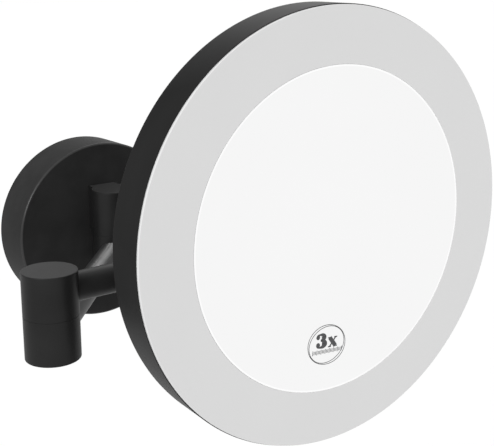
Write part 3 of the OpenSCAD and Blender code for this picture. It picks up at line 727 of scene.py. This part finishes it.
class MIRROR_OT_wall_hinge(Operator):
    """Fixed upper half of the wall hinge, with its neck and foot"""

    bl_idname = "shaving_mirror.wall_hinge"
    bl_label = "Wall Hinge"

    def execute(self, context):
        size = context.scene.mirror_plate
        shell = lathe(upper_barrel(LOW_SEAM, WALL_TOP), upright(WALL_AXIS))
        block = to_object("wall_hinge_block", shell)
        half = size.neck_width / 2
        low = LOW_SEAM + context.scene.mirror_arm.seam
        neck = [(-half, low), (half, low), (half, WALL_TOP), (-half, WALL_TOP)]
        combine(block, slab(neck, size.foot_top / 2, -WALL_AXIS.y, WALL, size.neck_round), "UNION")
        foot = rounded(
            [(0, size.foot_base), (size.foot_radius, size.foot_base),
             (size.foot_radius, size.foot_top), (0, size.foot_top)], [0, 0, size.foot_round, 0])
        foot_spot = WALL @ Matrix.Translation((0, LOW_SEAM + HALF_HEIGHT / 2, 0))
        combine(block, lathe(foot, foot_spot, TUBE_TURNS), "UNION")
        dress(block, "wall_plate", "hinge_metal", "hinge_block")
        return {"FINISHED"}


# ---- arms ----
class MIRROR_OT_arm_barrels(Operator):
    """Turning halves of the three hinges along the arm"""

    bl_idname = "shaving_mirror.arm_barrels"
    bl_label = "Arm Barrels"

    def execute(self, context):
        for name, axis, seam, body, node in (
            ("wall_barrel_lower", WALL_AXIS, LOW_SEAM, "inner_arm", "inner_arm_wall_knuckle"),
            ("elbow_barrel_lower", ELBOW_AXIS, LOW_SEAM, "inner_arm", "inner_arm_elbow_knuckle"),
            ("head_barrel_lower", HEAD_AXIS, HIGH_SEAM, "outer_arm", "outer_arm_head_knuckle"),
        ):
            shell = lathe(lower_barrel(seam), upright(axis), closed=True)
            dress(to_object(name, shell), body, "hinge_metal", node)
        shell = lathe(upper_barrel(LOW_SEAM, LOW_SEAM + HALF_HEIGHT), upright(ELBOW_AXIS))
        upper = to_object("elbow_barrel_upper", shell)
        dress(upper, "outer_arm", "hinge_metal", "outer_arm_elbow_knuckle")
        return {"FINISHED"}


class MIRROR_OT_arm_tubes(Operator):
    """Round tubes of the inner and outer arm"""

    bl_idname = "shaving_mirror.arm_tubes"
    bl_label = "Arm Tubes"

    def execute(self, context):
        size = context.scene.mirror_arm
        for name, node, body, start, end in (
            ("inner_tube", "inner_arm_tube", "inner_arm", WALL_AXIS, ELBOW_AXIS),
            ("outer_tube", "outer_arm_tube", "outer_arm", ELBOW_AXIS, HEAD_AXIS),
        ):
            low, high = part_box(node)
            level = Vector((0, 0, (low.z + high.z) / 2))
            direction = end - start
            first, last = extent(node, start + level, direction.normalized())
            inside = TUBE_R - size.tube_wall
            outline = rounded(
                [(TUBE_R, first), (TUBE_R, last), (inside, last), (inside, first)],
                [size.tube_round] * 4, steps=2, closed=True)
            shell = lathe(outline, place(start + level, UP, direction), TUBE_TURNS, closed=True)
            dress(to_object(name, shell), body, "arm_metal", node)
        return {"FINISHED"}


class MIRROR_OT_swivel(Operator):
    """Swivel on top of the head hinge, with the tongue of the tilt joint"""

    bl_idname = "shaving_mirror.swivel"
    bl_label = "Swivel"

    def execute(self, context):
        size = context.scene.mirror_arm
        shell = lathe(upper_barrel(HIGH_SEAM, HIGH_SEAM + HALF_HEIGHT), upright(HEAD_AXIS))
        block = to_object("swivel_body", shell)
        tilt = place(TILT_AXIS, -FORWARD, RIGHT)
        back = (TILT_AXIS - HEAD_AXIS).to_2d().length
        tongue = slab(
            [(back - x, y) for x, y in stadium(back, size.ear_radius)],
            -size.tongue_width / 2, size.tongue_width / 2, tilt, size.ear_round)
        combine(block, tongue, "UNION")
        dress(block, "swivel", "hinge_metal", "swivel_block")
        return {"FINISHED"}


class MIRROR_OT_tilt_bracket(Operator):
    """Bracket on the back of the head, with two ears round the tongue"""

    bl_idname = "shaving_mirror.tilt_bracket"
    bl_label = "Tilt Bracket"

    def execute(self, context):
        size = context.scene.mirror_arm
        base = rounded(
            [(0, -size.base_thickness), (size.base_radius, -size.base_thickness),
             (size.base_radius, 0), (0, 0)], [0, size.base_round, 0, 0])
        bracket = to_object("tilt_bracket_body", lathe(base, HEAD, BASE_TURNS))
        tilt = place(TILT_AXIS, -FORWARD, RIGHT)
        reach = TILT_REACH - size.base_thickness / 2
        inner = size.tongue_width / 2 + size.ear_gap
        outer = inner + size.ear_thickness
        for low, high in ((inner, outer), (-outer, -inner)):
            ear = slab([(x - reach, y) for x, y in stadium(reach, size.ear_radius)],
                       low, high, tilt, size.ear_round)
            combine(bracket, ear, "UNION")
        dress(bracket, "head", "hinge_metal", "tilt_bracket")
        return {"FINISHED"}


# ---- head ----
class MIRROR_OT_rear_casing(Operator):
    """Round moulded casing behind the mirror"""

    bl_idname = "shaving_mirror.rear_casing"
    bl_label = "Rear Casing"

    def execute(self, context):
        size = context.scene.mirror_head
        inner = HEAD_R - size.casing_wall
        lip = HEAD_R - size.ring_inset + size.joint_line
        rim = CASING_RIM - size.joint_line
        top = rim + size.rim_height
        outline = rounded(
            [(0, 0), (HEAD_R, 0), (HEAD_R, top), (lip, top), (lip, rim), (inner, rim),
             (inner, size.casing_wall), (0, size.casing_wall)],
            [0, size.back_round, size.rim_round, 0, 0, 0, size.inner_round, 0], steps=8)
        shell = to_object("casing_shell", lathe(outline, HEAD, HEAD_TURNS))
        dress(shell, "head", "casing", "rear_casing")
        return {"FINISHED"}


class MIRROR_OT_light_ring(Operator):
    """Frosted ring that spreads the light, its outer edge painted lighter as a highlight"""

    bl_idname = "shaving_mirror.light_ring"
    bl_label = "Light Ring"
    sideways = 0.5  # faces that look less far forward than this get the ring's painted edge highlight

    def execute(self, context):
        size = context.scene.mirror_head
        back = CASING_RIM
        low = back - size.ring_step
        outer = HEAD_R - size.ring_inset
        step_r = HEAD_R - size.casing_wall - size.ring_gap
        inner = MIRROR_R + size.lip
        outline = rounded(
            [(outer, back), (outer, HEAD_DEPTH), (inner, HEAD_DEPTH), (inner, low), (step_r, low),
             (step_r, back)],
            [size.ring_back_round, size.ring_round, size.ring_inner_round, 0, 0, 0],
            steps=4, closed=True)
        ring = to_object("light_ring", lathe(outline, HEAD, HEAD_TURNS, closed=True))
        ring.data.materials.append(finish("frosted"))
        ring.data.materials.append(finish("frosted_painted_highlight"))
        # Edge faces get the lighter colour of a painted highlight
        for face in ring.data.polygons:
            if abs(face.normal.dot(FORWARD)) < self.sideways:
                face.material_index = 1
        dress(ring, "head", "frosted", "front_ring")
        return {"FINISHED"}


def hollow(radius, curve):
    """Height of the mirror's face at a radius, from the back of the head."""
    sag = curve - sqrt(curve * curve - MIRROR_R * MIRROR_R)
    return HEAD_DEPTH - sag + curve - sqrt(curve * curve - radius * radius)


class MIRROR_OT_mirror_glass(Operator):
    """Hollow silvered glass with a ground edge"""

    bl_idname = "shaving_mirror.mirror_glass"
    bl_label = "Mirror Glass"
    bands = 48  # rings of faces across the hollow

    def execute(self, context):
        size = context.scene.mirror_head
        curve, depth = size.glass_curve, size.glass_thickness
        face_r = MIRROR_R - size.glass_bevel
        radii = [face_r * i / self.bands for i in range(self.bands + 1)]
        face = [(r, hollow(r, curve)) for r in radii]
        rim = hollow(MIRROR_R, curve)
        edge = [(MIRROR_R, rim - size.bevel_depth), (MIRROR_R, rim - depth + size.glass_round)]
        back = [(r, hollow(r, curve) - depth) for r in radii[::-1]]
        glass = to_object("mirror_disc", lathe(face + edge + back, HEAD, HEAD_TURNS))
        glass.data.materials.append(finish("mirror"))
        glass.data.materials.append(finish("mirror_bevel"))
        for part in glass.data.polygons:
            if (part.center - HEAD_BACK).cross(FORWARD).length > face_r:
                part.material_index = 1
        dress(glass, "head", "mirror", "mirror_glass")
        return {"FINISHED"}


# ---- magnification mark ----
def smooth_path(points, steps=8):
    """A smooth line through the given points."""
    path = []
    last = len(points) - 1
    for i in range(last):
        a, b, c, d = (Vector(points[max(0, min(last, k))]) for k in (i - 1, i, i + 1, i + 2))
        for step in range(steps):
            t = step / steps
            path.append(0.5 * (2 * b + (c - a) * t + (2 * a - 5 * b + 4 * c - d) * t * t
                               + (3 * b - a - 3 * c + d) * t * t * t))
    path.append(Vector(points[-1]))
    return path


def stroke(points):
    """The two sides of a pen stroke through (x, y, width) points."""
    path = smooth_path(points)
    left, right = [], []
    for i, point in enumerate(path):
        ahead = path[min(i + 1, len(path) - 1)] - path[max(i - 1, 0)]
        side = Vector((-ahead.y, ahead.x)).normalized() * point.z / 2
        left.append(Vector((point.x, point.y)) + side)
        right.append(Vector((point.x, point.y)) - side)
    return left, right


def dot(x, y, radius, steps=14):
    """The two sides of a round dot."""
    angles = [pi * i / steps for i in range(steps + 1)]
    return ([Vector((x - radius * sin(a), y - radius * cos(a))) for a in angles],
            [Vector((x + radius * sin(a), y - radius * cos(a))) for a in angles])


def bar(x0, y0, x1, y1, width):
    """The two sides of a straight stroke."""
    return stroke([(x0, y0, width), (x1, y1, width)])


class MIRROR_OT_magnification_mark(Operator):
    """Printed oval with the number of times that the mirror magnifies"""

    bl_idname = "shaving_mirror.magnification_mark"
    bl_label = "Magnification Mark"
    oval_steps = 120
    # Middle x, middle y, width and height of the two figures
    three_box = [value * MM for value in (-2.7, 2.05, 7.3, 6.6)]
    times_box = [value * MM for value in (3.5, 0.85, 5.3, 4.4)]

    def execute(self, context):
        size = context.scene.mirror_mark
        curve = context.scene.mirror_head.glass_curve
        on_glass = Matrix.Rotation(-size.turn, 4, "Z") @ Matrix.Translation((0, -size.drop, 0))
        shell = bmesh.new()

        def point(flat, lift):
            """A point of the mark, laid on the hollow glass."""
            spot = on_glass @ Vector((flat.x, flat.y, 0))
            radius = sqrt(spot.x ** 2 + spot.y ** 2)
            return shell.verts.new(HEAD @ Vector((spot.x, spot.y, hollow(radius, curve) + lift)))

        def ribbon(sides, closed=False):
            """Ink between the two sides of a line."""
            rows = []
            for left, right in zip(*sides):
                rows.append((
                    point(left, 0), point(right, 0), point(right, size.ink), point(left, size.ink)))
            joins = list(zip(rows, rows[1:])) + ([(rows[-1], rows[0])] if closed else [])
            for a, b in joins:
                for k in range(4):
                    m = (k + 1) % 4
                    shell.faces.new((a[k], a[m], b[m], b[k]))
            if not closed:
                shell.faces.new(rows[0])
                shell.faces.new(rows[-1][::-1])

        def oval(half_width, half_height, offset, width):
            """One line of the oval, drawn in by up to the offset along the slant."""
            sides = ([], [])
            for i in range(self.oval_steps):
                a = 2 * pi * i / self.oval_steps
                way = Vector((cos(a), sin(a)))
                inward = offset * cos(a - size.slant) ** 2
                middle = Vector((half_width * way.x, half_height * way.y)) - way * inward
                sides[0].append(middle + way * width / 2)
                sides[1].append(middle - way * width / 2)
            ribbon(sides, closed=True)

        half_w, half_h = (size.width - size.line) / 2, (size.height - size.line) / 2
        inset = 0.9 * size.line
        oval(half_w, half_h, 0, size.line)
        oval(half_w - inset, half_h - inset, size.split, size.line)
        for part in self.three(*self.three_box) + self.times(*self.times_box):
            ribbon(part)
        for i in range(size.ticks):
            x = size.row_shift + size.row_length * (i / (size.ticks - 1) - 0.5)
            half = size.tick_half if i % size.tall_every else size.tall_half
            ribbon(bar(
                x - size.tick_lean, -size.row_drop - half, x + size.tick_lean, -size.row_drop + half,
                size.tick_width))
        dress(to_object("printed_mark", shell), "head", "mark_ink", "magnification_mark")
        return {"FINISHED"}

    @staticmethod
    def three(x, y, w, h):
        """A bold figure three with round ends, its strokes drawn in shares of its size."""
        ends = ((-0.31, 0.27, 0.145), (-0.31, -0.27, 0.155))
        upper = [(-0.42, 0.30, 0.06), (-0.33, 0.40, 0.12), (-0.10, 0.45, 0.14), (0.08, 0.40, 0.26),
                 (0.16, 0.25, 0.38), (0.06, 0.08, 0.26), (-0.10, 0.02, 0.12)]
        lower = [(-0.10, 0.03, 0.12), (0.08, 0.0, 0.26), (0.20, -0.22, 0.42), (0.06, -0.40, 0.26),
                 (-0.12, -0.45, 0.14), (-0.34, -0.41, 0.12), (-0.44, -0.30, 0.06)]
        return [dot(x + a * w, y + b * h, c * w) for a, b, c in ends] + [
            stroke([(x + a * w, y + b * h, c * w) for a, b, c in path]) for path in (upper, lower)]

    @staticmethod
    def times(x, y, width, height):
        """A bold letter x with one thick and one thin stroke and small feet, drawn in shares."""
        w, h = width / 2, height / 2
        top, thick, thin, foot = 0.95, 0.40 * width, 0.13 * width, 0.13 * height
        return [bar(x + x0 * w, y + y0 * h, x + x1 * w, y + y1 * h, line) for x0, y0, x1, y1, line in (
            (-0.62, top, 0.62, -top, thick), (0.66, top, -0.66, -top, thin), (-1, top, -0.15, top, foot),
            (0.35, top, 1, top, foot), (-1, -top, -0.35, -top, foot), (0.15, -top, 1, -top, foot))]


# ---- fasteners and inside ----
def screw_head(name, spot, radius, height, body, slot, drive, reach):
    """A pan head with a hexagon or cross recess, and its plain shank."""
    shank = socket = radius / 2
    outline = rounded(
        [(0, -reach), (shank, -reach), (shank, 0), (radius, 0), (radius, height), (0, height)],
        [0, 0.1 * radius, 0, 0.05 * radius, 0.35 * height, 0], steps=4)
    head = to_object(name, lathe(outline, spot, SCREW_TURNS))
    above = 2 * height
    if drive == "hexagon":
        flats = [(socket * cos(i * pi / 3), socket * sin(i * pi / 3)) for i in range(6)]
        combine(head, slab(flats, 0.35 * height, above, spot), "DIFFERENCE")
    else:
        arm, half = 0.62 * radius, 0.13 * radius
        cross = [(-arm, -half), (arm, -half), (arm, half), (-arm, half)]
        for turn in (0, 90):
            turned = spot @ Matrix.Rotation(radians(turn), 4, "Z")
            combine(head, slab(cross, 0.4 * height, above, turned), "DIFFERENCE")
    return dress(head, body, slot)


class MIRROR_OT_fasteners(Operator):
    """Screws, pins, nuts, washers and plugs, with rounded edges and drive recesses"""

    bl_idname = "shaving_mirror.fasteners"
    bl_label = "Fasteners"
    stop_turn = radians(37)  # how much further each screw was turned home than the last

    def execute(self, context):
        for node, radius, height, drive in (
            ("casing_screws", 3 * MM, 1.6 * MM, "cross"),
            ("bracket_screws", 3.6 * MM, 2 * MM, "hexagon"),
        ):
            first = None
            for number, group in enumerate(solids(node), 1):
                depths = [(p - HEAD_BACK).dot(FORWARD) for p in group]
                middle = sum(group, Vector()) / len(group)
                flat = middle - FORWARD * (middle - HEAD_BACK).dot(FORWARD)
                base = flat + FORWARD * (min(depths) + height)
                turned = RIGHT.copy()
                turned.rotate(Matrix.Rotation(self.stop_turn * number, 3, FORWARD))
                piece = screw_head(
                    f"{node[:-1]}_{number}", place(base, turned, -FORWARD), radius, height, "head",
                    "black_screw", drive, max(depths) - min(depths) - height)
                first = first or piece
            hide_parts(node)
        for name, node, body, slot, edge in (
            ("tilt_bolt", "tilt_pin", "head", "black_screw", 0.35 * MM),
            ("tilt_bolt_washer", "tilt_washer", "head", "steel", 0.15 * MM),
            ("tilt_bolt_nut", "tilt_nut", "head", "black_screw", 0.3 * MM),
            ("wall_hinge_cap", "wall_hinge_plug", "inner_arm", "black_plastic", 0.2 * MM),
            ("elbow_hinge_cap", "elbow_hinge_plug", "inner_arm", "black_plastic", 0.2 * MM),
            ("head_hinge_cap", "head_hinge_plug", "outer_arm", "black_plastic", 0.2 * MM),
            ("grub_screws", "cover_screws", "wall_plate", "black_screw", 0.12 * MM),
            ("steel_wall_plate", "mounting_plate", "wall_plate", "steel", 0.25 * MM),
        ):
            softened(name, node, body, slot, edge)
        return {"FINISHED"}


class MIRROR_OT_inside(Operator):
    """Finishes of the pieces that keep their CAD shape, inside the plate, hinges and head"""

    bl_idname = "shaving_mirror.inside"
    bl_label = "Inside"

    def execute(self, context):
        slots = {row["node"]: row["material_slot"] for row in frame["record"]["subparts"]}
        for node, piece in NODES.items():
            material = finish(slots[node])
            if not piece.data.materials:
                piece.data.materials.append(material)
            for i in range(len(piece.material_slots)):
                piece.material_slots[i].material = material
        return {"FINISHED"}


# ---- studio ----
class MIRROR_OT_studio(Operator):
    """Pale floor, white room, soft lights and the camera"""

    bl_idname = "shaving_mirror.studio"
    bl_label = "Studio"

    def execute(self, context):
        scene = context.scene
        look = scene.mirror_studio
        scene.view_settings.view_transform = "Standard"
        self.room(scene, look)
        light = look.fill
        for name, level, toward, spread in (
            ("key_light", look.key, Vector(look.key_way), look.key_spread),
            ("back_light", look.back, Vector(look.back_way), look.back_spread),
        ):
            light += level * -toward.normalized().z / pi
            self.sun(scene, name, toward, level, spread)
        self.floor(look, light)
        for piece, level in (("inner_tube", look.glint), ("wall_hinge_block", look.hinge_glint)):
            glint = self.sun(
                scene, f"{piece}_glint", Vector(look.glint_way), level, look.glint_spread)
            lit = bpy.data.collections.new(f"{piece}_lit")
            lit.objects.link(bpy.data.objects[piece])
            glint.light_linking.receiver_collection = lit
            glint.light_linking.blocker_collection = lit
        camera = bpy.data.cameras.new("camera")
        camera.lens = look.lens
        camera.sensor_width = 36
        camera.shift_x, camera.shift_y = look.camera_shift
        camera.clip_start = 0.01
        viewer = bpy.data.objects.new("camera", camera)
        viewer.location = look.camera_place
        viewer.rotation_euler = look.camera_turn
        scene.collection.objects.link(viewer)
        scene.camera = viewer
        return {"FINISHED"}

    @staticmethod
    def sun(scene, name, toward, level, spread):
        """A far soft lamp that shines one way."""
        lamp = bpy.data.lights.new(name, "SUN")
        lamp.energy = level
        lamp.angle = spread
        holder = bpy.data.objects.new(name, lamp)
        holder.rotation_euler = toward.to_track_quat("-Z", "Y").to_euler()
        holder.location = -toward
        scene.collection.objects.link(holder)
        return holder

    @staticmethod
    def room(scene, look):
        """White as seen directly, in gloss and through glass, and a little less as light."""
        world = bpy.data.worlds.new("white_room")
        scene.world = world
        tree = Tree(world)
        lit = tree.add("ShaderNodeBackground", {"Color": WHITE, "Strength": look.fill})
        seen = tree.add("ShaderNodeBackground", {"Color": WHITE, "Strength": 1.0})
        both = tree.add("ShaderNodeMixShader", {
            0: tree.looked_at(), 1: lit.outputs[0], 2: seen.outputs[0]})
        tree.add("ShaderNodeOutputWorld", {"Surface": both.outputs[0]})

    @staticmethod
    def floor(look, light):
        """Pale floor that is just white where it is looked at, and shaded under the mirror."""
        half = look.floor_side / 2
        square = [(-half, -half), (half, -half), (half, half), (-half, half)]
        shell = bmesh.new()
        shell.faces.new([shell.verts.new((x, y, -look.floor_drop)) for x, y in square])
        floor = to_object("floor", shell)
        material = bpy.data.materials.new("pale_floor")
        tree = Tree(material)
        paint = tree.add("ShaderNodeBsdfDiffuse", {"Color": (*[look.floor_paint] * 3, 1)})
        amount = tree.add("ShaderNodeMath", {
            0: tree.looked_at(), 1: look.floor_white - look.floor_paint * light}, operation="MULTIPLY")
        glow = tree.add("ShaderNodeEmission", {"Color": WHITE, "Strength": amount.outputs[0]})
        both = tree.add("ShaderNodeAddShader", {0: paint.outputs[0], 1: glow.outputs[0]})
        tree.add("ShaderNodeOutputMaterial", {"Surface": both.outputs[0]})
        floor.data.materials.append(material)


OPERATORS = (
    MIRROR_OT_wall_cover, MIRROR_OT_wall_hinge, MIRROR_OT_arm_barrels, MIRROR_OT_arm_tubes,
    MIRROR_OT_swivel, MIRROR_OT_tilt_bracket, MIRROR_OT_rear_casing, MIRROR_OT_light_ring,
    MIRROR_OT_mirror_glass, MIRROR_OT_magnification_mark, MIRROR_OT_fasteners, MIRROR_OT_inside,
    MIRROR_OT_studio)
GROUPS = {
    "mirror_plate": PlateSizes, "mirror_arm": ArmSizes, "mirror_head": HeadSizes,
    "mirror_mark": MarkSizes, "mirror_finishes": Finishes, "mirror_studio": StudioLook}


class MIRROR_PT_sidebar(Panel):
    """Lists the pieces of the mirror and the sizes and colours that shape them"""

    bl_idname = "MIRROR_PT_sidebar"
    bl_label = "Lit Shaving Mirror"
    bl_space_type = "VIEW_3D"
    bl_region_type = "UI"
    bl_category = "Mirror"

    def draw(self, context):
        layout = self.layout
        for group in GROUPS:
            box = layout.box()
            settings = getattr(context.scene, group)
            for key in settings.bl_rna.properties.keys():
                if key not in ("rna_type", "name"):
                    box.prop(settings, key)
        for operator in OPERATORS:
            layout.operator(operator.bl_idname)


def register():
    for group in GROUPS.values():
        bpy.utils.register_class(group)
    for name, group in GROUPS.items():
        setattr(bpy.types.Scene, name, PointerProperty(type=group))
    for kind in (*OPERATORS, MIRROR_PT_sidebar):
        bpy.utils.register_class(kind)


def unregister():
    for kind in (MIRROR_PT_sidebar, *OPERATORS[::-1]):
        bpy.utils.unregister_class(kind)
    for name, group in GROUPS.items():
        delattr(bpy.types.Scene, name)
        bpy.utils.unregister_class(group)


def main():
    register()
    for operator in OPERATORS:
        family, action = operator.bl_idname.split(".")
        getattr(getattr(bpy.ops, family), action)()


if __name__ == "__main__":
    main()
